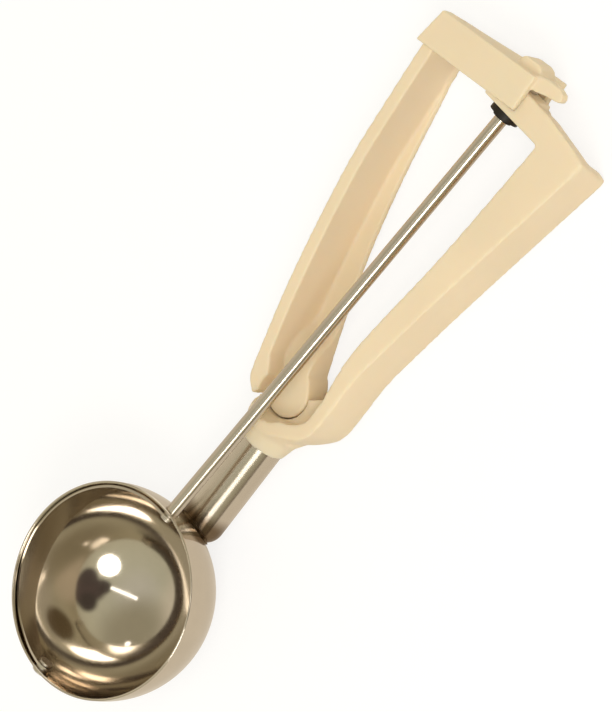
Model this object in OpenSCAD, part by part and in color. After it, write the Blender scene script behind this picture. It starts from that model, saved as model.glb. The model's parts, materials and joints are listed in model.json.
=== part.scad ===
// Lever ice cream scoop: a hemispherical bowl swept by a curved blade. Squeezing the
// sprung lever drives a toothed bar past a pinion, which turns the spindle and the blade.
// The origin is the centre of the bowl's sphere. The spindle lies along +X, the lever is on
// the +Y side, and the bowl opens towards +Z.

/* [Bowl] */
// Inner diameter of the bowl
bowl_bore = 67; // [56:1:82]
// Thickness of the bowl's sheet
bowl_wall = 0.8; // [0.6:0.1:1.5]
// Straight skirt between the hemisphere and the rim
skirt_h = 3.2; // [3:0.1:6]

/* [Blade and spindle] */
// Diameter of the spindle rod
rod_d = 4.4; // [3.5:0.1:5.2]
// Thickness of the blade
blade_t = 0.8; // [0.5:0.1:1.2]
// Width of the blade at its middle
blade_w = 11; // [8:0.5:14]
// Gap between the blade and the bowl
blade_gap = 0.4; // [0.2:0.1:1]
// Angle of the blade's middle below the spindle's level, at both ends of its sweep
blade_low = 6; // [5:1:15]

/* [Shank] */
// Outer diameter of the shank tube
shank_d = 15; // [12:0.5:16]
// Wall of the shank tube
shank_wall = 1.2; // [0.8:0.1:2]
// Depth of the shank's axis below the spindle, level with the back of the bowl
shank_drop = 18.9; // [17:0.1:20]
// Tilt of the shank and the handle up towards the spindle
tilt = 5; // [4:0.1:5.5]

/* [Handle] */
// Distance from the bowl's centre to the start of the socket
socket_x = 66; // [60:1:72]
// Length of the arms from the fork base to the neck
arm_len = 111.6; // [92:0.1:135]
// Depth of the arms from front to back
depth = 19.2; // [17:0.1:21]
// Thickness of the arms' outer walls
arm_wall = 4.5; // [3:0.1:5.5]
// Thickness of the fixed arm's front flange
flange_t = 3; // [2:0.1:4]
// Thickness of the lever's back flange
lever_flange_t = 2.2; // [1.5:0.1:3]
// Distance of the fixed arm's outer face from the shank's axis at the head
arm_spread = 33; // [30:0.5:38]
// Distance of the lever's outer face from the shank's axis at the head
lever_spread = 34.6; // [33:0.1:38]

/* [Mechanism] */
// Module of the pinion and the rack
gear_m = 1; // [0.9:0.01:1.05]
// Teeth of the pinion
pinion_n = 11; // [9:1:11]
// Face width of the pinion
pinion_w = 3.5; // [2.5:0.1:5]
// Diameter of the hinge pin
pin_d = 3; // [2:0.1:3.6]
// Diameter of the return spring's wire
wire_d = 1; // [0.7:0.1:1.1]
// Radial running clearance of shafts in their holes
run_gap = 0.05; // [0.02:0.01:0.09]
// Thickness of the bridge's front wall
bridge_t = 2.7; // [2:0.1:3.2]

/* [Hidden] */

$fn = 64;
eps = 0.01;
ivory = "#f1dab8";
steel = "#d8d3c8";
bright = "#c9c4ba";
black = "#2a2622";

// bowl and blade
bowl_ri = bowl_bore / 2;
bowl_ro = bowl_ri + bowl_wall;
rod_r = rod_d / 2;
ear_r = 3;                                  // round ends of the blade
rivet_r = 1.2;
rivet_head_r = 2.2;
rivet_depth = 3;                            // how far the rivet goes into the rod
stud_r = 1.5;
stud_head_r = 2.4;                          // the stud's head outside the bowl
collar_r = 2.2;                             // the stud's collar inside the bowl
keeper_r = 2.3;                             // the stud's head inside the blade's ear
head_t = 0.8;                               // height of the rivets' heads
ear_play = 0.1;                             // side play of the blade's ear on the stud
// the flat blade touches the bowl first at the edges of its widest place
blade_ro = sqrt(pow(bowl_ri - blade_gap, 2) - pow(blade_w / 2, 2));
ear_out = blade_ro;
ear_in = blade_ro - blade_t;
blade_sweep = 180 - 2 * blade_low;

// shank
shank_r = shank_d / 2;
shank_x = 30;                               // where the shank's drop is taken
bore_r = shank_r - shank_wall;
nose_r = 0.75 * shank_r;                    // rounding of the tube's end
back_x = sqrt(pow(bowl_ro, 2) - pow(shank_drop, 2));    // bowl's back, level with the shank
nose_x = back_x - 1.7;                      // where that end would be if the bowl didn't cut it
weld_leg = 0.6;
weld_skin = 0.05;                           // play between the bead and what it joins

// handle, in the frame of the shank's axis
half = depth / 2;
socket_lip = 0.5;                           // ivory rim round the tube
base_x = socket_x + 22;                     // where the arms start
head_x = base_x + arm_len;                  // underside of the neck
pin_x = socket_x + 18;
pin_y = 3;
pin = [pin_x, pin_y];
pin_r = pin_d / 2;
pocket_r = 8.2;                             // round end of the fork base's pocket
foot_r = pocket_r - 0.4;                    // the lever's foot, about the pin
tongue_r = 4.8;                             // the fork base's tongue, about the pin
wall_r = tongue_r + 0.5;                    // inner face of the lever's wall, about the pin
tube_end = pin_x - pocket_r - 1.8;
float = 0.3;                                // side play between stacked pieces

// stack on the hinge pin: the lever's flange, the tongue, the spring and the hood
tongue_z0 = lever_flange_t - half + float;
tongue_h = 2.6;
tongue_z1 = tongue_z0 + tongue_h;
spring_turns = 2;
spring_h = 1.15 * wire_d * (spring_turns + 1);
hood_z0 = tongue_z1 + 2 * float + spring_h;
hood_t = 1.8;
hood_z1 = hood_z0 + hood_t;
hood_skin = 0.7;                            // left over the blind hole for the pin
ramp_x0 = 8.4;                              // the lever's ramp, from the pin
ramp_x1 = 26;
spring_stop = [-5.6, -0.9];                 // post on the tongue for the spring's end, from the pin
stop_r = 0.9;
pocket_flare = 1.5;                         // how far the pocket's round end opens to the front
wall_foot = pin + wall_r * [cos(62), sin(62)];          // where the lever's wall starts, inside

// neck, square to the spindle
function world_x(x, z) = shank_x + (x - shank_x) * cos(tilt) - z * sin(tilt);
function world_z(x, z) = -shank_drop + (x - shank_x) * sin(tilt) + z * cos(tilt);
function handle_x(x, z) = shank_x + (x - shank_x) * cos(tilt) + (z + shank_drop) * sin(tilt);
function handle_z(x, z) = -(x - shank_x) * sin(tilt) + (z + shank_drop) * cos(tilt);

neck_x0 = world_x(head_x, half);
neck_low = 2.7;                             // plate under the pinion
neck_top = 2.2;                             // plate over the pinion
pinion_play = 0.5;                          // end play of the pinion in its chamber
chamber_x0 = neck_x0 + neck_low;
pinion_x0 = chamber_x0 + pinion_play;
chamber_x1 = pinion_x0 + pinion_w + pinion_play;
neck_x1 = chamber_x1 + neck_top;
neck_y = 7.5;                               // free end of the neck
rod_depth = 4.5756;                         // how far the neck reaches behind the rod's axis
neck_back = handle_z(neck_x0, 0) - rod_depth;
bush_r = rod_r + 1;                         // the bush's outside, in the plate under the pinion
bush_flange_r = 5;
bush_flange_t = 2;
bush_lip = 0.9;                             // collar of the bush, under its flange
clip_t = 0.7;
clip_w = 1.4;                               // how far the clip stands out of the rod
clip_x = neck_x1 + 0.1;
groove_r = rod_r - 0.7;                     // bottom of the clip's groove
rod_x0 = ear_out;
rod_x1 = clip_x + clip_t + 0.4;
rod_flat = 0.6;                             // depth of the drive flat on the rod

// rack and pinion
pitch_r = gear_m * pinion_n / 2;
addendum = 0.85 * gear_m;
dedendum = 1.25 * gear_m;
backlash = 0.3;
mesh_x = pinion_x0 + pinion_w / 2;
rack_r = norm([handle_x(mesh_x, -pitch_r) - pin_x, pin_y]);
rack_z = handle_z(mesh_x, -pitch_r);
tooth_step = 360 * gear_m / (2 * rack_r);
mesh_angle = -asin(pin_y / rack_r);
lever_travel = blade_sweep * pitch_r / rack_r;
rack_w = 4;
rack_body = 3;

// bridge, drawn square and turned about the pin by its slope at rest
slope = 8.4;
bridge_x0 = head_x + 0.8;
bridge_h = 12;
bridge_x1 = bridge_x0 + bridge_h;
bridge_y1 = pin_y + (lever_spread + 0.9 - pin_y) * cos(slope) - (head_x - 4 - pin_x) * sin(slope);
bridge_y0 = -24;                            // end of the front wall
roof_t = 2.2;
roof_fall = 3.5;                            // how far the bridge narrows towards its roof
bridge_gap = 0.3;                           // between the neck's face and the front wall
wall_z0 = half + bridge_gap;
wall_z1 = wall_z0 + bridge_t;
finger_z1 = half + 1;
finger_t = 3.4;

// ------------------------------------------------------------------ helpers

// smooth curve through points, with the end points kept
function spline(p, n = 5) = concat([for (i = [0:len(p) - 2], k = [0:n - 1])
    let (a = p[max(i - 1, 0)], b = p[i], c = p[i + 1], d = p[min(i + 2, len(p) - 1)], t = k / n)
    0.5 * (2 * b + (c - a) * t + (2 * a - 5 * b + 4 * c - d) * t * t
           + (3 * b - a - 3 * c + d) * t * t * t)], [p[len(p) - 1]]);

function reversed(p) = [for (i = [len(p) - 1:-1:0]) p[i]];
function arc(c, r, a0, a1, n = 12) =
    [for (i = [0:n]) let (a = a0 + (a1 - a0) * i / n) c + r * [cos(a), sin(a)]];

// fractions of the arms' length become places along the handle
function along(p) = [for (q = p) [base_x + q[0] * arm_len, q[1]]];

// places children in the frame of the shank's axis
module in_handle() {
    translate([shank_x, 0, -shank_drop]) rotate([0, -tilt, 0]) translate([-shank_x, 0, 0])
        children();
}

// places what is drawn square to the closed lever at its slope at rest
module at_rest() {
    translate(pin) rotate([0, 0, slope]) translate(-pin) children();
}

// a cylinder along +X
module bar(x0, x1, r) {
    translate([x0, 0, 0]) rotate([0, 90, 0]) cylinder(h = x1 - x0, r = r);
}

// an outline across the handle, between two places along it
module across(x0, x1) {
    translate([x0, 0, 0]) rotate([90, 0, 90]) linear_extrude(x1 - x0) children();
}

// a plan outline between two heights
module slab(z0, z1) {
    translate([0, 0, z0]) linear_extrude(z1 - z0) children();
}

// a side outline, in x and z, between two places across the handle
module beside(y0, y1) {
    translate([0, y1, 0]) rotate([90, 0, 0]) linear_extrude(y1 - y0) children();
}

// ------------------------------------------------------------------ bowl

module bowl() {
    color(steel) difference() {
        rotate_extrude($fn = 128) difference() {
            union() {
                intersection() {
                    circle(r = bowl_ro, $fn = 128);
                    translate([0, -bowl_ro]) square([bowl_ro, bowl_ro]);
                }
                square([bowl_ro, skirt_h]);
            }
            circle(r = bowl_ri, $fn = 128);
            translate([-eps, 0]) square([bowl_ri + eps, skirt_h + 1]);
            translate([-bowl_ro, -bowl_ro]) square([bowl_ro, 2 * bowl_ro + skirt_h]);
        }
        bar(bowl_ri - 2, bowl_ro + 2, rod_r + run_gap);
        bar(-bowl_ro - 2, -bowl_ri + 2, stud_r);
    }
}

module pivot_stud() {
    color(bright) {
        bar(-bowl_ro - head_t, -ear_in + ear_play + eps, stud_r);
        // head outside the bowl
        bar(-bowl_ro - head_t, -bowl_ro, stud_head_r);
        // collar between the bowl and the blade's ear
        intersection() {
            bar(-bowl_ri, -ear_out - ear_play, collar_r);
            sphere(r = bowl_ri, $fn = 128);
        }
        // head that keeps the ear on the stud
        bar(-ear_in + ear_play, -ear_in + ear_play + head_t, keeper_r);
    }
}

// ------------------------------------------------------------------ blade and spindle

// the blade's outline, pointed towards its two ears
module blade_outline() {
    side_r = (pow(ear_out, 2) + pow(blade_w / 2 - ear_r, 2)) / (2 * (blade_w / 2 - ear_r));
    intersection_for (s = [-1, 1])
        translate([0, s * (side_r - blade_w / 2)]) circle(r = side_r, $fn = 360);
}

module scraper_blade() {
    color(bright) rotate([-blade_low, 0, 0]) difference() {
        union() {
            intersection() {
                cylinder(h = blade_w, r = blade_ro, center = true, $fn = 128);
                rotate([-90, 0, 0]) linear_extrude(bowl_ro) blade_outline();
            }
            bar(ear_in, ear_out, ear_r);
            bar(-ear_out, -ear_in, ear_r);
        }
        cylinder(h = blade_w + 1, r = blade_ro - blade_t, center = true, $fn = 128);
        bar(ear_in - 1, ear_out + 1, rivet_r);
        bar(-ear_out - 1, -ear_in + 1, stud_r + run_gap);
    }
}

module blade_rivet() {
    color(bright) {
        // the head seats on the blade's curved inner face
        seat = sqrt(pow(ear_in, 2) - pow(rivet_head_r, 2));
        bar(seat, rod_x0 + rivet_depth, rivet_r);
        bar(seat - head_t, seat, rivet_head_r);
    }
}

module spindle_rod() {
    color(bright) difference() {
        bar(rod_x0, rod_x1, rod_r);
        bar(rod_x0 - 1, rod_x0 + rivet_depth, rivet_r);
        drive_flat(rod_r);
        // groove for the clip
        difference() {
            bar(clip_x, clip_x + clip_t, rod_r + 1);
            bar(clip_x - 1, clip_x + clip_t + 1, groove_r);
        }
    }
}

// what the drive flat takes off a shaft of radius r, from the pinion to the rod's end
module drive_flat(r) {
    translate([pinion_x0, -r - 1, r - rod_flat])
        cube([rod_x1 - pinion_x0 + 1, 2 * r + 2, 2 * r]);
}

// involute of a base circle at the angle that its string has turned
function involute(base_r, a) =
    base_r * [cos(a) + a * PI / 180 * sin(a), sin(a) - a * PI / 180 * cos(a)];

// one flank of a tooth, from root to tip, at the side of the tooth's centre line
function flank(n, m, tip_r, root_r, play) = let (
    base_r = m * n / 2 * cos(20),
    at_pitch = tan(20) * 180 / PI,
    turned = at_pitch - 20 + 90 / n - play * 180 / (PI * m * n),
    end = sqrt(pow(tip_r / base_r, 2) - 1) * 180 / PI)
    concat([root_r * [cos(-turned), sin(-turned)]],
           [for (k = [0:5]) let (q = involute(base_r, end * k / 5))
            [q[0] * cos(turned) + q[1] * sin(turned), q[1] * cos(turned) - q[0] * sin(turned)]]);

module drive_pinion() {
    tip_r = pitch_r + addendum;
    root_r = pitch_r - dedendum;
    side = flank(pinion_n, gear_m, tip_r, root_r, backlash / 2);
    tooth = concat(side, [for (q = reversed(side)) [q[0], -q[1]]]);
    color(black) difference() {
        // a tooth points straight down to the rack
        translate([pinion_x0, 0, 0]) rotate([0, 90, 0]) linear_extrude(pinion_w)
            polygon([for (k = [0:pinion_n - 1], q = tooth) let (a = 360 * k / pinion_n)
                [q[0] * cos(a) - q[1] * sin(a), q[0] * sin(a) + q[1] * cos(a)]]);
        difference() {
            bar(pinion_x0 - 1, pinion_x0 + pinion_w + 1, rod_r);
            drive_flat(rod_r);
        }
    }
}

module retaining_clip() {
    color(steel) translate([clip_x, 0, 0]) rotate([0, 90, 0]) linear_extrude(clip_t)
        difference() {
            circle(r = rod_r + clip_w);
            circle(r = groove_r);
            // mouth of the clip
            translate([0, rod_r]) square([2 * (rod_r - 1), 2 * rod_r], center = true);
        }
}

// ------------------------------------------------------------------ shank

// the tube's outer form with its rounded end, grown by a margin
module shank_form(grow = 0) {
    nose = nose_r + grow;
    side = shank_r + grow;
    bar(nose_x + nose_r, tube_end, side);
    translate([nose_x + nose_r, 0, 0]) rotate([0, 90, 0]) rotate_extrude() {
        translate([0, -nose]) square([side - nose, nose]);
        intersection() {
            translate([side - nose, 0]) circle(r = nose);
            translate([0, -nose]) square([side, nose]);
        }
    }
}

module shank_tube() {
    color(steel) difference() {
        in_handle() difference() {
            shank_form();
            bar(nose_x + nose_r - 0.5, tube_end + 1, bore_r);
        }
        sphere(r = bowl_ro, $fn = 128);
    }
}

// bead in the corner between the bowl and the tube's rounded end
module shank_weld() {
    color("#8f8578") difference() {
        intersection() {
            sphere(r = bowl_ro + weld_leg, $fn = 128);
            in_handle() shank_form(weld_leg);
        }
        sphere(r = bowl_ro + weld_skin, $fn = 128);
        in_handle() shank_form(weld_skin);
    }
}

// ------------------------------------------------------------------ fixed handle

// outer face of the fixed arm, from the fork base to the head
function frame_outer() = spline(along([[0, -17.5], [0.16, -17.5], [0.26, -18.9], [0.5, -23.1],
    [1, -arm_spread], [1.09, -arm_spread - 1.6]]));
// inner edge of the fixed arm's front flange
function frame_inner() = spline(along([[0.06, -12.8], [0.2, -11], [0.36, -12.2], [0.6, -15],
    [1, -17.5], [1.09, -17.6]]));
function shifted(p, t) = [for (q = p) [q[0], q[1] + t]];

// plan of the fork base, bulging from the socket to the arms
module base_plan() {
    polygon(concat(spline([[socket_x + 3, -6], [socket_x + 6.4, -7.6], [socket_x + 10.4, -12.3],
        [socket_x + 16.4, -16.4], [base_x, -17.5]]), [[base_x + 0.09 * arm_len, -17.5],
        [base_x + 0.09 * arm_len, 9], [pin_x - 6.4, 9], [socket_x + 7, 7.6], [socket_x + 3, 5]]));
}

// the open space inside the fork base
module pocket_plan() {
    polygon(concat(arc(pin, pocket_r, 120, 214), spline([[pin_x - 5.2, -5], [pin_x - 2.2, -9.8],
        [pin_x + 2.6, -13], frame_inner()[0]]), [[base_x + 0.1 * arm_len, -12.2],
        [base_x + 0.1 * arm_len, 20], [pin_x, 20]]));
}

// tongue that holds the hinge pin, out of the pocket's round end
module tongue_plan() {
    root = pocket_r + 3;
    side = 0.75 * tongue_r;
    translate(pin) circle(r = tongue_r);
    translate(pin - [root, side]) square([root, 2 * side]);
}

// floor of the pocket, beside the lever's round foot, from its edge towards the lever
module floor_plan(edge) {
    difference() {
        polygon([for (q = concat(edge, [[2, -17], [-2, -15.5], [-6, -11.5], [-9, -3], [-4, -3]]))
            pin + q]);
        translate(pin) circle(r = pocket_r);
    }
}

// dome that blends the round socket into the fork base
module shoulder() {
    end_x = base_x + 0.12 * arm_len;
    profile = spline([[socket_x, shank_r + socket_lip], [socket_x + 3, shank_r + 1.2],
        [socket_x + 6, shank_r + 2.2], [socket_x + 9, shank_r + 4.8], [socket_x + 14, 17.5],
        [socket_x + 22, 22], [end_x, 24]], 4);
    rotate([0, 0, 90]) rotate([90, 0, 0]) rotate_extrude()
        polygon([for (q = concat([[socket_x, 0]], profile, [[end_x, 0]])) [q[1], q[0]]]);
}

module fixed_arm() {
    outer = frame_outer();
    slab(-half, half) polygon(concat(outer, reversed(shifted(outer, arm_wall))));
    slab(half - flange_t, half) polygon(concat(outer, reversed(frame_inner())));
}

// block across the head that holds the spindle's bearing, square to the spindle
module neck_block() {
    intersection() {
        in_handle() slab(neck_back, half)
            translate([head_x - 3, 1 - arm_spread]) square([16, arm_spread - 1 + neck_y]);
        translate([neck_x0, -arm_spread, -depth]) cube([neck_x1 - neck_x0, 2 * arm_spread, 2 * depth]);
    }
}

// what slopes the fork base off towards the lever's foot
module base_trim() {
    across(socket_x - 1, pin_x) polygon([[5.6, half], [10.5, half - 7.1], [half + 6, half - 7.1],
        [half + 6, half + 1], [5.6, half + 1]]);
}

// what slopes the head off towards its back and towards the fixed arm's outer face
module head_trim() {
    top_x = handle_x(neck_x1, world_z(head_x, half)) + 0.01;
    corner_y = -14;                         // where the fall to the outer face starts
    fall = atan(2.7 / (arm_spread + corner_y));
    back = 14;
    translate([top_x, corner_y, half]) {
        rotate([0, back, 0]) translate([0, 0, -2 * depth]) cube([depth, 5.5, 3 * depth]);
        rotate([0, 0, -fall]) rotate([0, back, 0]) translate([0, -arm_spread, -2 * depth])
            cube([depth, arm_spread + 1, 3 * depth]);
    }
}

// room for the pinion, open to the back, to the lever and through the front
module pinion_room() {
    bar(chamber_x0, chamber_x1, pitch_r + addendum + 0.6);
    translate([chamber_x0, 0, -depth]) cube([chamber_x1 - chamber_x0, neck_y + 1, depth]);
}

module handle_frame() {
    color(ivory) difference() {
        union() {
            in_handle() {
                intersection() {
                    shoulder();
                    slab(-half, half) difference() {
                        union() {
                            base_plan();
                            translate([socket_x, -shank_r - 2.5])
                                square([pin_x - pocket_r - socket_x, shank_d + 5]);
                        }
                        pocket_plan();
                    }
                }
                slab(-half, tongue_z0) floor_plan([[4, -5], [7, -6.3], [11, -9], [14, -17]]);
                slab(-half, hood_z1) floor_plan([[3.6, -7.4], [7.6, -11.7], [9, -17]]);
                slab(tongue_z0, tongue_z1) tongue_plan();
                translate(pin + spring_stop) slab(tongue_z1 - 1, tongue_z1 + 1.6 * wire_d)
                    circle(r = stop_r);
                fixed_arm();
            }
            neck_block();
        }
        in_handle() {
            bar(socket_x - 1, tube_end, shank_r);
            translate([pin_x, pin_y, -half - 1]) cylinder(h = depth, r = pin_r);
            translate([pin_x, pin_y, hood_z1 + 0.1])
                cylinder(h = half - hood_z1, r1 = pocket_r - 0.3, r2 = pocket_r + pocket_flare);
            base_trim();
            head_trim();
        }
        pinion_room();
        bar(neck_x0 - 1, chamber_x0 + 1, bush_r);
        bar(chamber_x1 - 1, neck_x1 + 1, rod_r + run_gap);
    }
}

module bearing_bush() {
    color(black) difference() {
        union() {
            bar(neck_x0 - bush_flange_t, neck_x0, bush_flange_r);
            bar(neck_x0 - bush_flange_t - bush_lip, chamber_x0, bush_r);
        }
        bar(neck_x0 - depth, chamber_x0 + 1, rod_r + run_gap);
    }
}

// pin pressed into the tongue, under the skin of the lever's hood
module hinge_pin() {
    color(steel) in_handle() translate([pin_x, pin_y, -half])
        cylinder(h = hood_z1 - hood_skin - 0.2 + half, r = pin_r);
}

// torsion spring round the pin, from the lever's wall to the stop on the tongue
module return_spring() {
    coil_r = pin_r + run_gap + wire_d / 2 + 0.9;
    // the upper leg lies just short of the lever's wall, the lower one just short of the stop
    leg = 6.8;
    lever_end = [leg, wall_at(pin_x + leg) - pin_y - 0.7 * wire_d - 0.15];
    frame_end = spring_stop - [0.3, stop_r + wire_d / 2 + 0.15];
    function bearing(q) = atan2(q[1], q[0]);
    a0 = bearing(lever_end) - acos(coil_r / norm(lever_end));
    a1 = bearing(frame_end) + acos(coil_r / norm(frame_end)) - 360 * spring_turns;
    z0 = hood_z0 - float - wire_d / 2;
    z1 = tongue_z1 + float + wire_d / 2;
    steps = 44;
    route = concat([[lever_end[0], lever_end[1], z0]],
        [for (i = [0:steps]) let (a = a0 + (a1 - a0) * i / steps)
            [coil_r * cos(a), coil_r * sin(a), z0 + (z1 - z0) * i / steps]],
        [[frame_end[0], frame_end[1], z1]]);
    color(steel) in_handle() translate([pin_x, pin_y, 0]) wire(route, wire_d / 2);
}

// round wire along a route that stays nearly level
module wire(route, r, sides = 8) {
    last = len(route) - 1;
    points = [for (i = [0:last])
        let (t = route[min(i + 1, last)] - route[max(i - 1, 0)], n = [t[1], -t[0], 0] / norm([t[0], t[1]]),
             up = cross(n, t) / norm(cross(n, t)))
        for (k = [0:sides - 1]) let (a = 360 * k / sides) route[i] + r * (cos(a) * n + sin(a) * up)];
    skin = [for (i = [0:last - 1], k = [0:sides - 1])
        let (a = i * sides, b = a + sides, n = (k + 1) % sides)
        each [[a + k, b + n, a + n], [a + k, b + k, b + n]]];
    ends = [[for (k = [0:sides - 1]) k], [for (k = [sides - 1:-1:0]) last * sides + k]];
    polyhedron(points, concat(skin, ends));
}

// ------------------------------------------------------------------ lever

// outer face of the lever, from its foot to the head
function lever_outer() = spline(concat([pin + foot_r * [cos(135), sin(135)], pin + [-3, 9],
    pin + [0, 10.8]],
    along([[0.034, 16.2], [0.174, 20.8], [0.32, 24.8], [0.47, 28.3], [0.62, 31.2],
           [0.78, 32.9], [0.93, lever_spread - 0.3], [1.08, lever_spread + 0.9]])));
// inner face of the lever's outer wall
function lever_floor() = shifted(spline(along([[0.034, 16.2], [0.174, 20.8], [0.32, 24.8],
    [0.47, 28.3], [0.62, 31.2], [0.78, 32.9], [0.93, lever_spread - 0.3],
    [1.08, lever_spread + 0.9]])), -arm_wall);
// how far from the axis that inner face is, at a place along the handle
function wall_at(x) = lookup(x, concat([wall_foot], lever_floor()));
// free edge of the lever's back flange
function lever_edge() = spline(along([[0.036, 0.5], [0.2, 8.1], [0.4, 15.9], [0.62, 22.4],
    [0.84, 27.5], [0.92, 29.2], [1.08, 30]]));

// plan of the lever's back flange, from its round foot to the head
module flange_plan() {
    polygon(concat(lever_outer(), reversed(lever_edge()), arc(pin, foot_r, -50, -224, 24)));
}

// the part of that plan between two places along the handle, from the pin
module flange_part(x0, x1) {
    intersection() {
        flange_plan();
        translate([pin_x + x0, -depth]) square([x1 - x0, 3 * depth]);
    }
}

// skirt between the foot's two plates, clear of the tongue and of its root
module skirt_plan() {
    polygon(concat(arc(pin, wall_r, -122, -12, 16), [pin + [ramp_x0 + 0.1, -1.1],
        pin + [ramp_x0 + 0.1, -2.9]], arc(pin, foot_r, -50, -122, 16)));
}

// ramp from the hood down to the flange, closing the spring's room
module hood_ramp() {
    intersection() {
        slab(-half, hood_z1) flange_part(ramp_x0, ramp_x1);
        translate([pin_x, 0, 0]) beside(-depth, depth) polygon(concat([[ramp_x0, -half]],
            spline([[ramp_x0, hood_z1], [10.5, hood_z1 - 0.3], [15, hood_z1 - 2.6],
                [20, 1.4 - half + lever_flange_t], [ramp_x1, lever_flange_t - half]]),
            [[ramp_x1, -half]]));
    }
}

module squeeze_arm() {
    outer = lever_outer();
    color(ivory) in_handle() difference() {
        union() {
            slab(-half, half) polygon(concat(outer, reversed(lever_floor()),
                arc(pin, wall_r, 62, 126)));
            slab(-half, lever_flange_t - half) flange_plan();
            slab(hood_z0, hood_z1) flange_part(-foot_r - 1, ramp_x0 + 0.1);
            slab(-half, hood_z1) skirt_plan();
            hood_ramp();
        }
        translate([pin_x, pin_y, hood_z1 - hood_skin - depth])
            cylinder(h = depth, r = pin_r + run_gap);
        at_rest() translate([bridge_x0, -depth, -depth]) cube([depth, 4 * depth, 2 * depth]);
    }
}

// trapezoid tooth of the rack, across the handle
module rack_tooth() {
    function at(z) = PI * gear_m / 4 - backlash / 4 - z * tan(20);
    low = -dedendum - 0.2;
    polygon([[-at(low), low], [at(low), low], [at(addendum), addendum], [-at(addendum), addendum]]);
}

module rack() {
    teeth = ceil(lever_travel / tooth_step);
    first = mesh_angle - 2.2 * tooth_step;
    last = slope + asin((bridge_y1 - arm_wall / 2 - pin_y) / rack_r);
    top = rack_z - dedendum;
    slab(top - rack_body, top) polygon(concat(arc(pin, rack_r + rack_w / 2, first, last),
        arc(pin, rack_r - rack_w / 2, last, first)));
    for (k = [-2:teeth + 1]) translate(pin) rotate(mesh_angle + (k + 0.5) * tooth_step)
        translate([0, 0, rack_z]) across(rack_r - rack_w / 2, rack_r + rack_w / 2) rack_tooth();
}

// groove in the front wall that clears the pinion's teeth, swept about the pin
module pinion_groove() {
    tip_r = pitch_r + addendum;
    r = norm([handle_x(mesh_x, tip_r) - pin_x, pin_y]);
    width = pinion_w + 1.6;
    top = max(wall_z0 - 0.5, handle_z(mesh_x, tip_r) + 0.3);
    slab(wall_z0 - 1, top) polygon(concat(
        arc(pin, r + width / 2, -8, slope + 3, 16), arc(pin, r - width / 2, slope + 3, -8, 16)));
}

module rack_bridge() {
    block_y0 = bridge_y1 - arm_wall - 0.5;
    tie_top = rack_z - dedendum;
    color(ivory) in_handle() {
        rack();
        // front wall
        difference() {
            at_rest() slab(wall_z0, wall_z1) polygon([[bridge_x0, bridge_y1],
                [bridge_x1, bridge_y1 - roof_fall], [bridge_x1, bridge_y0], [bridge_x0, bridge_y0 + 1.2]]);
            pinion_groove();
        }
        at_rest() {
            // block on the end of the lever, falling to the back
            difference() {
                slab(-half, wall_z1) polygon([[bridge_x0, bridge_y1], [bridge_x1, bridge_y1 - roof_fall],
                    [bridge_x1, block_y0 - roof_fall], [bridge_x0, block_y0]]);
                translate([bridge_x1, -depth, half - 1]) rotate([0, 20, 0])
                    translate([0, 0, -2 * depth]) cube([depth, 4 * depth, 2 * depth]);
            }
            // roof, running back to the plate that steadies the rack
            across(bridge_x1 - roof_t, bridge_x1) polygon(concat([[bridge_y1 - roof_fall, wall_z1],
                [bridge_y0, wall_z1], [bridge_y0, tie_top - rack_body],
                [-13.5, tie_top - rack_body]], spline([[-10.5, -1], [-3, 2], [4, 4.4],
                [10.4, 6.3], [bridge_y1 - roof_fall, 9]])));
            translate([rack_r + pin_x - 4.5, bridge_y0 + 2, tie_top - rack_body])
                cube([bridge_x1 - rack_r - pin_x + 4.5, 8.5, rack_body]);
            // hump on the roof
            slab(0.7, 8.7) polygon([for (q = [[-0.5, -13.6], [1.9, -14.2], [2.9, -15.4],
                [2.9, -20.4], [2.2, -22.2], [0.6, -23.6], [-0.5, -23.8]]) [bridge_x1 + q[0], q[1]]]);
            // finger that points past the fixed arm
            slab(finger_z1 - finger_t, finger_z1) polygon([for (q = [[0, 2], [0.9, -0.5], [1.3, -4.2],
                [1, -8], [0.2, -9.9], [-1, -10.6], [-2.2, -10.4], [-2.8, -9.4], [-3.2, -5],
                [-4, -1.2], [-4, 2]]) [bridge_x1 + q[0], bridge_y0 + q[1]]]);
        }
    }
}

// ------------------------------------------------------------------ nodes

bowl();
pivot_stud();
shank_tube();
shank_weld();
handle_frame();
bearing_bush();
hinge_pin();
return_spring();
squeeze_arm();
rack_bridge();
spindle_rod();
drive_pinion();
retaining_clip();
scraper_blade();
blade_rivet();
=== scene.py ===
import json
import math

import bmesh
import bpy
from mathutils import Matrix, Vector


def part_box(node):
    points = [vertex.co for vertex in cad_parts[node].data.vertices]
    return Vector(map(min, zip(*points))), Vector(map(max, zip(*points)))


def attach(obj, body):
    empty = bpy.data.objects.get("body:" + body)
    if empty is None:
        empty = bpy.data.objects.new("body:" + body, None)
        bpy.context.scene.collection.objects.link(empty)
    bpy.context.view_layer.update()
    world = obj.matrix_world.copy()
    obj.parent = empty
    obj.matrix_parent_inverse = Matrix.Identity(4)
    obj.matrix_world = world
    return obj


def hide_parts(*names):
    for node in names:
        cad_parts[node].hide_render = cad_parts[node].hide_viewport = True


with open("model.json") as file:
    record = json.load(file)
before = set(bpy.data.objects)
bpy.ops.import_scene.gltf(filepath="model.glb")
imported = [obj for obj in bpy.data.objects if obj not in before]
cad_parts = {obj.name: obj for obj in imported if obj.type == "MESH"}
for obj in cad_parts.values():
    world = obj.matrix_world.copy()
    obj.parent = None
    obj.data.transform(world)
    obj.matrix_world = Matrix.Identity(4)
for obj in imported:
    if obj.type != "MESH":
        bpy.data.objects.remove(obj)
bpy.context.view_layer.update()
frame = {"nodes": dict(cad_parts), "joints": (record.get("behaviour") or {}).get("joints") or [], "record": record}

# Lever ice cream scoop. Everything is in metres, in the frame of the CAD model: the spindle
# lies along +X, the squeeze lever is on the +Y side and the bowl opens towards +Z.

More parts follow.
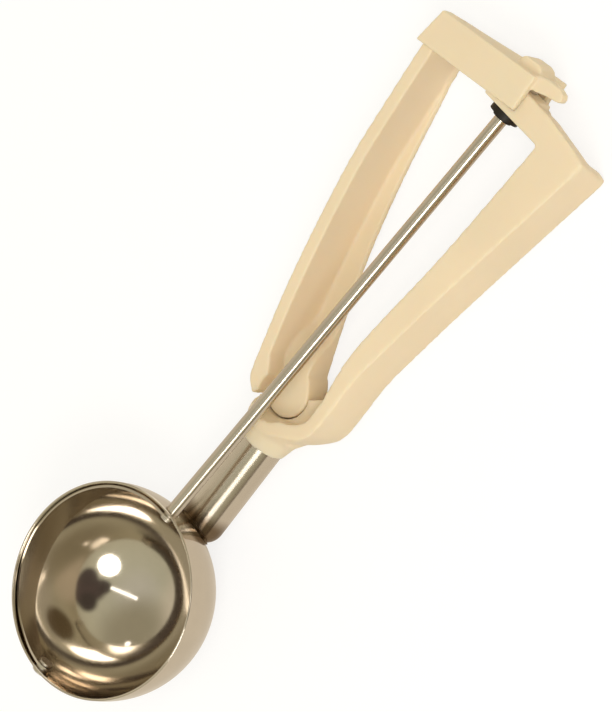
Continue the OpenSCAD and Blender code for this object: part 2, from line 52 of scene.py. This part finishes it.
MM = 0.001
scene = bpy.context.scene

# ---------------------------------------------------------------- sizes and directions

BOWL_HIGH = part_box("bowl")[1]
BOWL_R = BOWL_HIGH.y
RIM_Z = BOWL_HIGH.z
# these four are the CAD's own
SHEET = 0.8 * MM                                # thickness of the bowl's sheet
ROD_R = 2.2 * MM
STUD_R = 1.5 * MM
HOLE_PLAY = 0.05 * MM                           # round the rod, where it turns
HINGE = next(j for j in frame["joints"] if j["name"] == "lever_hinge")
HANDLE_TILT = math.atan2(HINGE["axis"][0], -HINGE["axis"][2])
SHANK = next(m for m in frame["record"]["mounts"] if m["name"] == "shank")
ALONG = -Vector(SHANK["axis"]).normalized()     # along the handle, from the bowl to the head
X_AXIS, Y_AXIS, Z_AXIS = Vector((1, 0, 0)), Vector((0, 1, 0)), Vector((0, 0, 1))


# ---------------------------------------------------------------- camera

# fitted to the outline of the scoop in the photograph
CAMERA_AT = Vector((0.40149, -0.49755, 0.90246))
CAMERA_AHEAD = Vector((-0.28048, 0.46275, -0.84095))
CAMERA_UP = Vector((0.73577, 0.66629, 0.12124))
SENSOR_HEIGHT = 24.0                            # millimetres, as is the lens
LENS = 119.11


def make_camera():
    """The photograph's camera. It looks steeply down at the scoop and is turned so that the rod
    runs from the lower left to the upper right."""
    ahead = CAMERA_AHEAD.normalized()
    up = (CAMERA_UP - CAMERA_UP.dot(ahead) * ahead).normalized()
    right = ahead.cross(up)
    turn = Matrix((right, up, -ahead)).transposed().to_4x4()
    data = bpy.data.cameras.new("camera")
    data.sensor_fit = "VERTICAL"
    data.sensor_height = SENSOR_HEIGHT
    data.lens = LENS
    data.clip_start = 0.05
    data.clip_end = 20.0
    camera = bpy.data.objects.new("camera", data)
    camera.matrix_world = Matrix.Translation(CAMERA_AT) @ turn
    scene.collection.objects.link(camera)
    scene.camera = camera


# ---------------------------------------------------------------- colours

def linear(hex_colour):
    """The linear colour of an sRGB hex value."""
    parts = [int(hex_colour[i:i + 2], 16) / 255 for i in (0, 2, 4)]
    return tuple(c / 12.92 if c <= 0.04045 else ((c + 0.055) / 1.055) ** 2.4 for c in parts)


def shade(colour, factor):
    """A colour made darker or lighter."""
    return tuple(c * factor for c in colour)


IVORY = (0.868, 0.725, 0.53)
STEEL = (0.69, 0.618, 0.525)
NYLON = linear("1F1914")
WELD_DARK, WELD_MIDDLE, WELD_STRAW = linear("4A3626"), linear("7C6850"), linear("B8A88E")
WELD_MEAN = linear("7A664E")
HEAT_AND_SHADE_BROWN = (0.30, 0.24, 0.18)                 # steel's colour near the weld: its heat tint, and painted shade by the tube
PAPER = (0.88, 0.86, 0.83)                      # the floor as it lights the scoop
PAPER_SHADED = (0.27, 0.27, 0.27)               # the part of it that shows a shadow
PAPER_GLOW = (0.78, 0.776, 0.772)               # what makes it white to the camera
PAPER_IN_METAL = (0.52, 0.455, 0.365)           # the same glow, where metal mirrors it


# ---------------------------------------------------------------- nodes

MIX_FACTOR, MIX_FIRST, MIX_SECOND, MIX_RESULT = 0, 6, 7, 2      # a colour Mix node's sockets


def fill_ramp(node, stops):
    """Gives a colour ramp its stops, each a position and a colour."""
    elements = node.color_ramp.elements
    while len(elements) < len(stops):
        elements.new(0.5)
    for element, (position, colour) in zip(elements, stops):
        element.position = position
        element.color = (*colour, 1.0)


def mixed(tree, factor, first, second, blend="MIX"):
    """The first colour where the factor is 0 and the second where it is 1, each a socket or
    three numbers."""
    node = tree.nodes.new("ShaderNodeMix")
    node.data_type = "RGBA"
    node.blend_type = blend
    tree.links.new(factor, node.inputs[MIX_FACTOR])
    for socket, colour in ((MIX_FIRST, first), (MIX_SECOND, second)):
        if isinstance(colour, bpy.types.NodeSocket):
            tree.links.new(colour, node.inputs[socket])
        else:
            node.inputs[socket].default_value = (*colour, 1.0)
    return node.outputs[MIX_RESULT]


def soft_step(tree, value, start, full):
    """0 where the value is at start and 1 where it is at full, with a soft change between."""
    node = tree.nodes.new("ShaderNodeMapRange")
    node.interpolation_type = "SMOOTHSTEP"
    node.inputs["From Min"].default_value = start
    node.inputs["From Max"].default_value = full
    tree.links.new(value, node.inputs["Value"])
    return node.outputs["Result"]


class Shader:
    """A material with its Principled shader, and short calls for the nodes round it."""

    def __init__(self, name, colour, roughness, metallic=0.0, **sockets):
        self.material = bpy.data.materials.new(name)
        self.material.use_nodes = True
        self.tree = self.material.node_tree
        self.nodes, self.links = self.tree.nodes, self.tree.links
        self.surface = self.nodes["Principled BSDF"]
        self.set("Base Color", (*colour, 1.0))
        self.set("Roughness", roughness)
        self.set("Metallic", metallic)
        for socket, value in sockets.items():
            self.set(socket.replace("_", " "), value)
        self.where = self.nodes.new("ShaderNodeTexCoord").outputs["Object"]

    def set(self, socket, value):
        self.surface.inputs[socket].default_value = value

    def plug(self, output, socket):
        self.links.new(output, self.surface.inputs[socket])

    def stretched(self, scale, turn=(0.0, 0.0, 0.0)):
        """Object coordinates scaled apart, so that noise turns into lines or rings."""
        node = self.nodes.new("ShaderNodeMapping")
        node.inputs["Scale"].default_value = scale
        node.inputs["Rotation"].default_value = turn
        self.links.new(self.where, node.inputs["Vector"])
        return node.outputs["Vector"]

    def noise(self, scale, detail, vector=None):
        node = self.nodes.new("ShaderNodeTexNoise")
        node.inputs["Scale"].default_value = scale
        node.inputs["Detail"].default_value = detail
        self.links.new(vector or self.where, node.inputs["Vector"])
        return node.outputs["Fac"]

    def ramp(self, factor, stops):
        node = self.nodes.new("ShaderNodeValToRGB")
        fill_ramp(node, stops)
        self.links.new(factor, node.inputs["Fac"])
        return node.outputs["Color"]

    def mottled(self, colour, scale, detail, low, high=1.0):
        """A colour in soft patches between a low and a high share of itself."""
        stops = [(0.3, shade(colour, low)), (0.7, shade(colour, high))]
        return self.ramp(self.noise(scale, detail), stops)

    def spread(self, factor, low, high):
        """A factor of 0 to 1 as a value from low to high."""
        node = self.nodes.new("ShaderNodeMapRange")
        node.inputs["To Min"].default_value = low
        node.inputs["To Max"].default_value = high
        self.links.new(factor, node.inputs["Value"])
        return node.outputs["Result"]

    def bumps(self, *layers):
        """Stacks bumps, each (height socket, strength, distance in metres)."""
        normal = None
        for height, strength, distance in layers:
            node = self.nodes.new("ShaderNodeBump")
            node.inputs["Strength"].default_value = strength
            node.inputs["Distance"].default_value = distance
            self.links.new(height, node.inputs["Height"])
            if normal is not None:
                self.links.new(normal, node.inputs["Normal"])
            normal = node.outputs["Normal"]
        self.links.new(normal, self.surface.inputs["Normal"])


# ---------------------------------------------------------------- materials

# Near the weld the steel is browned: partly the weld's heat tint, and partly painted shade, the tube's shadow and
# dark reflection on the bowl painted into its colour.
WELD_AT = Vector((29.5, 0.0, -18.0)) * MM       # middle of the weld's ring
HEAT_AND_SHADE_FULL = 8.5 * MM                            # how far from there the metal is fully browned, by heat tint and painted shade
BOWL_HEAT_AND_SHADE = 14.0 * MM                           # how far it is browned at all, on the bowl
TUBE_HEAT_AND_SHADE = 12.5 * MM                           # and on the tube


def ivory_plastic(name):
    """Cream moulded plastic: even colour with slow clouds, fine mould grain and a soft gloss."""
    s = Shader(name, IVORY, roughness=0.38, Specular_IOR_Level=0.4, Subsurface_Weight=0.3,
               Subsurface_Scale=4 * MM, Subsurface_Radius=(1.0, 0.7, 0.4))
    s.plug(s.mottled(IVORY, scale=28.0, detail=3.0, low=0.965, high=1.02), "Base Color")
    s.plug(s.spread(s.noise(scale=160.0, detail=4.0), low=0.36, high=0.5), "Roughness")
    grain = s.noise(scale=2600.0, detail=2.0)
    waves = s.noise(scale=190.0, detail=2.0)
    s.bumps((grain, 0.10, 0.04 * MM), (waves, 0.10, 0.2 * MM))
    return s.material


def heat_tint_and_painted_shade(s, metal, reach):
    """Browns a metal's colour towards the weld: the heat's tint, and painted shade for the tube's shadow and dark
    reflection on the bowl.
    """
    away = s.nodes.new("ShaderNodeVectorMath")
    away.operation = "DISTANCE"
    away.inputs[1].default_value = WELD_AT
    s.links.new(s.where, away.inputs[0])
    near = soft_step(s.tree, away.outputs["Value"], reach, HEAT_AND_SHADE_FULL)
    return mixed(s.tree, near, metal, HEAT_AND_SHADE_BROWN, "MULTIPLY")


def spun_steel(name, colour, roughness):
    """Spun stainless steel: mirror polish with faint lathe rings, slow waves and fine rub marks,
    browned near the weld by its heat tint and by painted shade."""
    s = Shader(name, colour, roughness, metallic=1.0)
    rings = s.noise(scale=1.0, detail=3.0, vector=s.stretched((12.0, 12.0, 900.0)))
    s.plug(s.spread(rings, low=roughness * 0.7, high=roughness * 1.5), "Roughness")
    metal = s.mottled(colour, scale=90.0, detail=4.0, low=0.93)
    # browned near the weld: heat tint, and painted shade for the tube's shadow and dark reflection
    s.plug(heat_tint_and_painted_shade(s, metal, BOWL_HEAT_AND_SHADE), "Base Color")
    waves = s.noise(scale=45.0, detail=1.0)
    rubs = s.noise(scale=2200.0, detail=3.0)
    s.bumps((rings, 0.05, 0.03 * MM), (waves, 0.06, 0.6 * MM), (rubs, 0.04, 0.02 * MM))
    return s.material


def polished_round(name, colour, roughness, tilt=0.0, tinted=False):
    """Round stock polished as it turns: fine scratches across it spread each reflection along
    its axis and leave it sharp across. tilt is the angle of its axis to +X."""
    s = Shader(name, colour, roughness, metallic=1.0, Anisotropic=0.95,
               Anisotropic_Rotation=0.25)
    tangent = s.nodes.new("ShaderNodeTangent")
    tangent.direction_type = "RADIAL"
    tangent.axis = "X"
    s.plug(tangent.outputs["Tangent"], "Tangent")
    across = s.stretched((2400.0, 60.0, 60.0), turn=(0.0, tilt, 0.0))
    scratches = s.noise(scale=1.0, detail=4.0, vector=across)
    s.plug(s.spread(scratches, low=roughness * 0.92, high=roughness * 1.08), "Roughness")
    metal = s.mottled(colour, scale=70.0, detail=4.0, low=0.92)
    # tinted: browned near the weld by heat tint and by painted shade
    s.plug(heat_tint_and_painted_shade(s, metal, TUBE_HEAT_AND_SHADE) if tinted else metal, "Base Color")
    dents = s.noise(scale=160.0, detail=2.0)
    s.bumps((scratches, 0.008, 0.03 * MM), (dents, 0.02, 0.3 * MM))
    return s.material


def drawn_steel(name, colour, roughness):
    """Drawn or ground steel with long fine scratches along X."""
    s = Shader(name, colour, roughness, metallic=1.0)
    scratches = s.noise(scale=1.0, detail=3.0, vector=s.stretched((25.0, 2600.0, 2600.0)))
    s.plug(s.spread(scratches, low=roughness * 0.75, high=roughness * 1.35), "Roughness")
    s.plug(s.mottled(colour, scale=60.0, detail=4.0, low=0.9), "Base Color")
    s.bumps((scratches, 0.08, 0.03 * MM))
    return s.material


def black_nylon(name):
    """Matt black moulded nylon with a fine grain."""
    s = Shader(name, NYLON, roughness=0.5, Specular_IOR_Level=0.35)
    s.plug(s.spread(s.noise(scale=400.0, detail=3.0), low=0.42, high=0.6), "Roughness")
    s.bumps((s.noise(scale=1500.0, detail=2.0), 0.15, 0.05 * MM))
    return s.material


def weld_metal(name):
    """Heat-tinted bead: straw to dark brown patches."""
    s = Shader(name, WELD_MEAN, roughness=0.4, metallic=1.0)
    stops = [(0.35, WELD_DARK), (0.52, WELD_MIDDLE), (0.7, WELD_STRAW)]
    s.plug(s.ramp(s.noise(scale=420.0, detail=3.0), stops), "Base Color")
    s.plug(s.spread(s.noise(scale=300.0, detail=3.0), low=0.3, high=0.55), "Roughness")
    s.bumps((s.noise(scale=900.0, detail=2.0), 0.5, 0.2 * MM))
    return s.material


def floor_paper(name):
    """Matt white paper. It looks white to the camera, and dimmer and warmer where metal mirrors
    it, and shows the scoop's shadow to both."""
    s = Shader(name, PAPER, roughness=0.95, Specular_IOR_Level=0.0)
    shaded = s.nodes.new("ShaderNodeBsdfDiffuse")
    shaded.inputs["Color"].default_value = (*PAPER_SHADED, 1.0)
    path = s.nodes.new("ShaderNodeLightPath")
    glow = s.nodes.new("ShaderNodeEmission")
    ray = path.outputs["Is Camera Ray"]
    s.links.new(mixed(s.tree, ray, PAPER_IN_METAL, PAPER_GLOW), glow.inputs["Color"])
    seen = s.nodes.new("ShaderNodeAddShader")
    s.links.new(shaded.outputs["BSDF"], seen.inputs[0])
    s.links.new(glow.outputs["Emission"], seen.inputs[1])
    for other in ("Is Glossy Ray", "Is Transmission Ray"):
        either = s.nodes.new("ShaderNodeMath")
        either.operation = "MAXIMUM"
        s.links.new(ray, either.inputs[0])
        s.links.new(path.outputs[other], either.inputs[1])
        ray = either.outputs["Value"]
    choice = s.nodes.new("ShaderNodeMixShader")
    s.links.new(ray, choice.inputs["Fac"])
    s.links.new(s.surface.outputs["BSDF"], choice.inputs[1])
    s.links.new(seen.outputs["Shader"], choice.inputs[2])
    s.links.new(choice.outputs["Shader"], s.nodes["Material Output"].inputs["Surface"])
    return s.material


# ---------------------------------------------------------------- tools for meshes

def apply_modifiers(obj):
    """Applies an object's modifiers in their order."""
    bpy.context.view_layer.objects.active = obj
    obj.select_set(True)
    for modifier in list(obj.modifiers):
        bpy.ops.object.modifier_apply(modifier=modifier.name)
    obj.select_set(False)


def add_smoothing(obj, rounds, group=""):
    """Smooths an object, or only a vertex group of it, in so many rounds."""
    smooth = obj.modifiers.new("smooth", "SMOOTH")
    smooth.factor = 0.5
    smooth.iterations = rounds
    smooth.vertex_group = group


def smooth_faces(mesh):
    """Shades all faces of a mesh smooth."""
    mesh.polygons.foreach_set("use_smooth", [True] * len(mesh.polygons))


def copy_of(node, name):
    """A copy of a CAD node that may be changed."""
    copy = bpy.data.objects.new(name, frame["nodes"][node].data.copy())
    scene.collection.objects.link(copy)
    return copy


def handle_place(co):
    """A place in the handle's plan: how far along the handle it is, and how far across."""
    return Vector((co.x * ALONG.x + co.z * ALONG.z, co.y))


def quarter_turn(steps):
    """Angles from 0 to 90 degrees."""
    return [math.pi / 2 * k / steps for k in range(steps + 1)]


ON_AXIS = 1e-7                                  # a radius below this is a point on the axis


def revolved(name, profile, sides, centre, axis, across):
    """A closed mesh turned about an axis. The profile lists places along the axis and radii, and
    its first and last points lie on the axis."""
    side = axis.cross(across).normalized()
    angles = [2 * math.pi * k / sides for k in range(sides)]
    spokes = [math.cos(a) * across + math.sin(a) * side for a in angles]
    bm = bmesh.new()
    rings = []
    for along, radius in profile:
        hub = centre + along * axis
        places = [hub] if radius < ON_AXIS else [hub + radius * spoke for spoke in spokes]
        rings.append([bm.verts.new(place) for place in places])
    for first, second in zip(rings, rings[1:]):
        for k in range(sides):
            n = (k + 1) % sides
            if len(first) == 1:
                bm.faces.new((first[0], second[n], second[k]))
            elif len(second) == 1:
                bm.faces.new((first[k], first[n], second[0]))
            else:
                bm.faces.new((first[k], first[n], second[n], second[k]))
    bmesh.ops.recalc_face_normals(bm, faces=bm.faces)
    mesh = bpy.data.meshes.new(name)
    bm.to_mesh(mesh)
    bm.free()
    smooth_faces(mesh)
    obj = bpy.data.objects.new(name, mesh)
    scene.collection.objects.link(obj)
    return obj


def cut(obj, cutter):
    """Takes the cutter out of the object and deletes it."""
    difference = obj.modifiers.new("cut", "BOOLEAN")
    difference.operation = "DIFFERENCE"
    difference.solver = "EXACT"
    difference.object = cutter
    apply_modifiers(obj)
    bpy.data.objects.remove(cutter)


# ---------------------------------------------------------------- the scoop's pieces

MERGE = 0.001 * MM                              # corners closer than this are one corner
VOXEL, FINE_VOXEL = 0.45 * MM, 0.35 * MM        # of the remesh, the finer one for the bridge
EDGE_ROUNDS = 7                                 # rounds of smoothing that round a moulding's edges
CORNER_ROUNDS, CORNER_REACH = 60, 7 * MM        # and those that round one corner of the head more


def soft_edged(node, name, voxel, corner=None):
    """A copy of a moulding whose edges are rounded as the mould leaves them, and more so round
    one corner, a place in the handle's plan."""
    copy = copy_of(node, name)
    bm = bmesh.new()
    bm.from_mesh(copy.data)
    bmesh.ops.remove_doubles(bm, verts=bm.verts, dist=MERGE)
    bm.to_mesh(copy.data)
    bm.free()
    remesh = copy.modifiers.new("remesh", "REMESH")
    remesh.mode = "VOXEL"
    remesh.voxel_size = voxel
    apply_modifiers(copy)
    if corner:
        group = copy.vertex_groups.new(name="corner")
        for vertex in copy.data.vertices:
            away = (handle_place(vertex.co) - corner).length / CORNER_REACH
            if away < 1.0:
                group.add([vertex.index], min(1.0, 2.0 * (1.0 - away)), "REPLACE")
        add_smoothing(copy, CORNER_ROUNDS, group.name)
    add_smoothing(copy, EDGE_ROUNDS)
    apply_modifiers(copy)
    copy.vertex_groups.clear()
    smooth_faces(copy.data)
    return copy


RIM_EDGE = 0.45 * SHEET                         # radius of the rim's two edges
BOWL_STEPS, BOWL_SIDES = 96, 256
RIM_STEPS = 5
HOLE_SIDES = 48
CUTTER = 8 * MM                                 # length of a hole's cutter, half in the bowl


def make_bowl():
    """The bowl as one fine revolve, with its rim's edges rounded and its two holes."""
    inner = BOWL_R - SHEET
    wall = quarter_turn(BOWL_STEPS)
    bend = quarter_turn(RIM_STEPS)
    turn_z = RIM_Z - RIM_EDGE
    profile = [(-BOWL_R * math.cos(a), BOWL_R * math.sin(a)) for a in wall]
    profile += [(turn_z + RIM_EDGE * math.sin(a), BOWL_R - RIM_EDGE + RIM_EDGE * math.cos(a))
                for a in bend]
    profile += [(turn_z + RIM_EDGE * math.cos(a), inner + RIM_EDGE - RIM_EDGE * math.sin(a))
                for a in bend]
    profile += [(-inner * math.cos(a), inner * math.sin(a)) for a in reversed(wall)]
    bowl = revolved("bowl_shell", profile, BOWL_SIDES, Vector(), Z_AXIS, X_AXIS)
    for name, middle, radius in (("rod_hole", BOWL_R, ROD_R + HOLE_PLAY),
                                 ("stud_hole", -BOWL_R, STUD_R)):
        hole = [(0.0, 0.0), (0.0, radius), (CUTTER, radius), (CUTTER, 0.0)]
        start = Vector((middle - CUTTER / 2, 0, 0))
        cut(bowl, revolved(name, hole, HOLE_SIDES, start, X_AXIS, Z_AXIS))
    smooth_faces(bowl.data)
    return bowl


BLADE_PUSH = 0.24 * MM                          # how far the blade is bent out
EARS_FROM = 30 * MM                             # x, on either side, beyond which it isn't bent
EARS_FADE = 6 * MM                              # the bend fades out over this


def make_blade():
    """The blade bent out until it all but touches the bowl. Its ears stay where they are."""
    blade = copy_of("scraper_blade", "blade_band")
    for vertex in blade.data.vertices:
        free = (EARS_FROM - abs(vertex.co.x)) / EARS_FADE
        vertex.co += vertex.co.normalized() * BLADE_PUSH * min(1.0, max(0.0, free))
    return blade


NOSE_SHARE = 0.75                               # how much of the tube's radius its end rounds off
TUBE_FROM_X = 26.93 * MM                        # x of that end's tip, which the bowl cuts off
NOSE_STEPS, FLAT_RINGS, TUBE_RINGS = 40, 8, 80
TUBE_SIDES = 160
WALL_GAP = 0.01 * MM                            # between the bowl and the tube that lies on it


def make_tube():
    """The shank's tube, closed at the bowl by a rounded end that follows the bowl's wall."""
    radius = SHANK["dims"]["r_mm"] * MM
    nose = NOSE_SHARE * radius
    flat = radius - nose
    on_axis = Vector(SHANK["pos_m"])
    far = max(v.co.dot(ALONG) for v in frame["nodes"]["shank_tube"].data.vertices)
    end = far - on_axis.dot(ALONG)
    start = (TUBE_FROM_X - on_axis.x) / ALONG.x
    body = start + nose
    profile = [(start, flat * k / FLAT_RINGS) for k in range(FLAT_RINGS)]
    profile += [(body - nose * math.cos(a), flat + nose * math.sin(a))
                for a in quarter_turn(NOSE_STEPS)]
    profile += [(body + (end - body) * k / TUBE_RINGS, radius)
                for k in range(1, TUBE_RINGS + 1)]
    profile += [(end, 0.0)]
    tube = revolved("tube_shell", profile, TUBE_SIDES, on_axis, ALONG, Y_AXIS)
    wall = BOWL_R + WALL_GAP
    for vertex in tube.data.vertices:
        if vertex.co.length < wall:
            beside = vertex.co.dot(ALONG)
            reach = wall ** 2 - vertex.co.length_squared + beside ** 2
            vertex.co += ALONG * (math.sqrt(reach) - beside)
    return tube


def shown_as(piece, node, body, material):
    """A modelled piece that stands for a CAD node."""
    piece.data.materials.clear()
    piece.data.materials.append(material)
    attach(piece, body)
    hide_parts(node)


def finish_node(name, material):
    """Gives a CAD node a material and leaves its mesh alone."""
    node = frame["nodes"][name]
    node.data.materials.clear()
    node.data.materials.append(material)


def make_mouldings():
    """The three ivory mouldings. The frame's outer corner at the head is the roundest."""
    frame_plastic, lever_plastic = ivory_plastic("ivory_frame"), ivory_plastic("ivory_lever")
    plan = [handle_place(v.co) for v in frame["nodes"]["handle_frame"].data.vertices]
    head_corner = max(plan, key=lambda place: place.x - place.y)
    shown_as(soft_edged("handle_frame", "frame_moulding", VOXEL, head_corner),
             "handle_frame", "root", frame_plastic)
    shown_as(soft_edged("squeeze_arm", "lever_moulding", VOXEL),
             "squeeze_arm", "lever", lever_plastic)
    shown_as(soft_edged("rack_bridge", "bridge_moulding", FINE_VOXEL),
             "rack_bridge", "lever", lever_plastic)


def make_steel():
    """Bowl, tube and blade, and the CAD's weld, rod and small steel parts."""
    shown_as(make_bowl(), "bowl", "root",
             spun_steel("bowl_steel", STEEL, roughness=0.09))
    # the tube is browned near the weld by heat tint and by painted shade
    shown_as(make_tube(), "shank_tube", "root",
             polished_round("tube_steel", STEEL, roughness=0.25, tilt=HANDLE_TILT, tinted=True))
    shown_as(make_blade(), "scraper_blade", "spindle",
             drawn_steel("blade_steel", shade(STEEL, 0.97), roughness=0.16))
    finish_node("shank_weld", weld_metal("weld_metal"))
    finish_node("spindle_rod",
                polished_round("rod_steel", shade(STEEL, 0.95), roughness=0.2))
    small_metal = drawn_steel("small_steel", shade(STEEL, 0.92), roughness=0.3)
    for part in ("pivot_stud", "blade_rivet", "hinge_pin", "return_spring", "retaining_clip"):
        finish_node(part, small_metal)


def make_nylon():
    """The CAD's bush and pinion."""
    nylon = black_nylon("black_nylon")
    for part in ("bearing_bush", "drive_pinion"):
        finish_node(part, nylon)


# ---------------------------------------------------------------- studio

FLOOR_SIZE = 6.0
FLOOR_GAP = 0.2 * MM                            # left under the bowl
HEAD_LENGTH = 12 * MM                           # the frame's last part, which lies on the floor
HEEL = 2 * MM                                   # from the frame's end to the line it lies on
TILT_ROUNDS = 40


def make_floor():
    """A white table under the scoop, which lies on its bowl and on the back of its head."""
    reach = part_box("handle_frame")[1].x
    head_low = min(v.co.z for v in frame["nodes"]["handle_frame"].data.vertices
                   if v.co.x > reach - HEAD_LENGTH)
    # the plane that touches the round bowl and the head, closer to it each round
    tilt = 0.0
    for _ in range(TILT_ROUNDS):
        tilt = math.asin((BOWL_R + head_low * math.cos(tilt)) / (reach - HEEL))
    bpy.ops.mesh.primitive_grid_add(x_subdivisions=8, y_subdivisions=8, size=FLOOR_SIZE)
    floor = bpy.context.object
    floor.name = "floor"
    normal = Vector((-math.sin(tilt), 0.0, math.cos(tilt)))
    floor.rotation_euler = (0.0, -tilt, 0.0)
    floor.location = normal * (-BOWL_R - FLOOR_GAP)
    floor.data.materials.append(floor_paper("floor_paper"))


def towards(azimuth, elevation):
    """Unit vector at an azimuth from +X towards +Y and an elevation, in degrees."""
    a, e = math.radians(azimuth), math.radians(elevation)
    return Vector((math.cos(a) * math.cos(e), math.sin(a) * math.cos(e), math.sin(e)))


LAMP_FAR = 1.2                                  # from the middle of the bowl
LAMP_COLOUR = (1.0, 0.98, 0.95)


def area_light(name, azimuth, elevation, width, power, length=None, run=0.0):
    """A lamp that faces the bowl: round, or a strip of some length that runs towards an
    azimuth."""
    data = bpy.data.lights.new(name, "AREA")
    data.shape = "RECTANGLE" if length else "DISK"
    data.size = width
    if length:
        data.size_y = length
    data.energy = power
    data.color = LAMP_COLOUR
    light = bpy.data.objects.new(name, data)
    back = towards(azimuth, elevation)
    side = towards(run, 0.0).cross(back).normalized()
    turn = Matrix((side, back.cross(side), back)).transposed().to_4x4()
    light.matrix_world = Matrix.Translation(LAMP_FAR * back) @ turn
    scene.collection.objects.link(light)
    return light


def make_lights():
    """The bowl mirrors the key as a round lamp and the strip as a thin one, but not the fill."""
    area_light("key", azimuth=-95, elevation=46, width=0.5, power=4.4)
    area_light("strip", azimuth=-51, elevation=75, width=0.07, power=0.38, length=0.68, run=113)
    fill = area_light("fill", azimuth=-51, elevation=57, width=0.5, power=3.8)
    fill.visible_glossy = False


# The room round the table. ROOM is its colour by height, from straight down at 0 to straight up
# at 1. Each patch on it has an azimuth and an elevation, the angles away from there where it
# starts and where it is full, and a colour.
ROOM = [
    (0.50, (0.20, 0.165, 0.12)),
    (0.60, (0.43, 0.39, 0.28)),
    (0.75, (0.565, 0.54, 0.395)),
    (0.93, (0.57, 0.56, 0.435)),
    (1.0, (0.62, 0.605, 0.52)),
]
PATCHES = [
    # a pale wall on the lever's side and a dim one beyond the head
    (112, 22, 50, 20, (0.72, 0.66, 0.53)),
    (48, 52, 46, 8, (0.38, 0.35, 0.25)),
    # a window low down and two small lamps
    (40, 15, 18, 9, (2.3, 2.25, 2.05)),
    (47, 37, 3.5, 1.5, (3.0, 2.9, 2.7)),
    (31, 25, 6, 3, (2.6, 2.5, 2.3)),
    # the dark figure of whoever holds the camera: head, chest, hips and two arms
    (-58, 52, 10, 4, (0.075, 0.06, 0.05)),
    (-52, 41, 17, 8, (0.085, 0.065, 0.055)),
    (-50, 29, 20, 11, (0.10, 0.075, 0.065)),
    (-34, 35, 13, 6, (0.075, 0.06, 0.05)),
    (-67, 33, 12, 6, (0.09, 0.07, 0.06)),
]


def make_world():
    """The room as the world's colour, with the patches laid over it in their order."""
    world = bpy.data.worlds.new("studio")
    scene.world = world
    world.use_nodes = True
    tree = world.node_tree
    nodes, links = tree.nodes, tree.links
    way = nodes.new("ShaderNodeTexCoord").outputs["Generated"]
    split = nodes.new("ShaderNodeSeparateXYZ")
    links.new(way, split.inputs["Vector"])
    height = nodes.new("ShaderNodeMapRange")
    height.inputs["From Min"].default_value = -1.0
    links.new(split.outputs["Z"], height.inputs["Value"])
    ramp = nodes.new("ShaderNodeValToRGB")
    fill_ramp(ramp, ROOM)
    links.new(height.outputs["Result"], ramp.inputs["Fac"])
    sky = ramp.outputs["Color"]
    for azimuth, elevation, outer, inner, colour in PATCHES:
        near = nodes.new("ShaderNodeVectorMath")
        near.operation = "DOT_PRODUCT"
        near.inputs[1].default_value = towards(azimuth, elevation)
        links.new(way, near.inputs[0])
        start, full = math.cos(math.radians(outer)), math.cos(math.radians(inner))
        inside = soft_step(tree, near.outputs["Value"], start, full)
        sky = mixed(tree, inside, sky, colour)
    links.new(sky, nodes["Background"].inputs["Color"])
    nodes["Background"].inputs["Strength"].default_value = 1.0


# ---------------------------------------------------------------- making

make_camera()
make_mouldings()
make_steel()
make_nylon()
make_floor()
make_world()
make_lights()

scene.view_settings.view_transform = "Standard"
scene.cycles.glossy_bounces = 12                # the bowl's rim mirrors the bowl many times over
